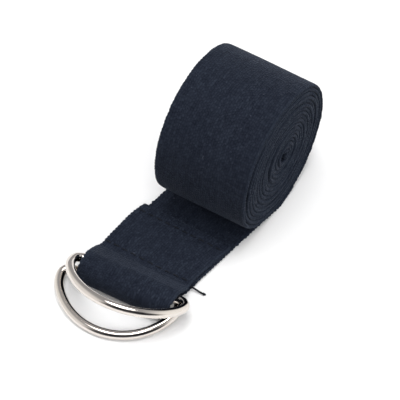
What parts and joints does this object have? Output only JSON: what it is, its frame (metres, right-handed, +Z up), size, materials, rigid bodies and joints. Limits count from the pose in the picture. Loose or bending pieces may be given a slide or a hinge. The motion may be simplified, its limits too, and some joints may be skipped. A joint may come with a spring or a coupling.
{
  "type": "stretching strap",
  "caption": "Rolled cotton webbing stretching strap with D-rings held in its sewn end loop, for looping round a foot or an anchor and pulling tight.",
  "frame": {"origin": "middle of the footprint, on the floor that the rolled strap stands on", "axes": "+X from the D-rings towards the roll, +Y along the roll's axis, +Z up"},
  "size_m": [0.1158, 0.0548, 0.0602],
  "materials": {
    "webbing": "matt woven cotton, dark navy",
    "thread": "twisted sewing thread, near black",
    "nickel": "bright nickel plate on steel wire"
  },
  "bodies": {
    "roll": {"webbing_roll": "webbing", "webbing_foot": "webbing", "tip_hem": "webbing", "tip_hem_stitches": "thread"},
    "ring_end": {"webbing_tongue": "webbing", "folded_end": "webbing", "ring_loop": "webbing", "loop_stitches": "thread", "end_stitches": "thread"},
    "upper_ring": {"upper_d_ring": "nickel"},
    "lower_ring": {"lower_d_ring": "nickel"}
  },
  "joints": [
    {"name": "tongue_lift", "type": "hinge", "parent": "roll", "child": "ring_end", "pos_m": [0.0058, -0.00842, 0.0015], "axis": [0, 1, 0], "range_deg": [0, 20]},
    {"name": "upper_ring_swing", "type": "hinge", "parent": "ring_end", "child": "upper_ring", "pos_m": [-0.0335, 0.00018, 0.0075], "axis": [-0.0663, 0.9978, 0], "range_deg": [-18, 136]},
    {"name": "lower_ring_swing", "type": "hinge", "parent": "ring_end", "child": "lower_ring", "pos_m": [-0.0347, 0.00388, 0.0036], "axis": [-0.2198, 0.9755, 0], "range_deg": [-115, 0]}
  ]
}
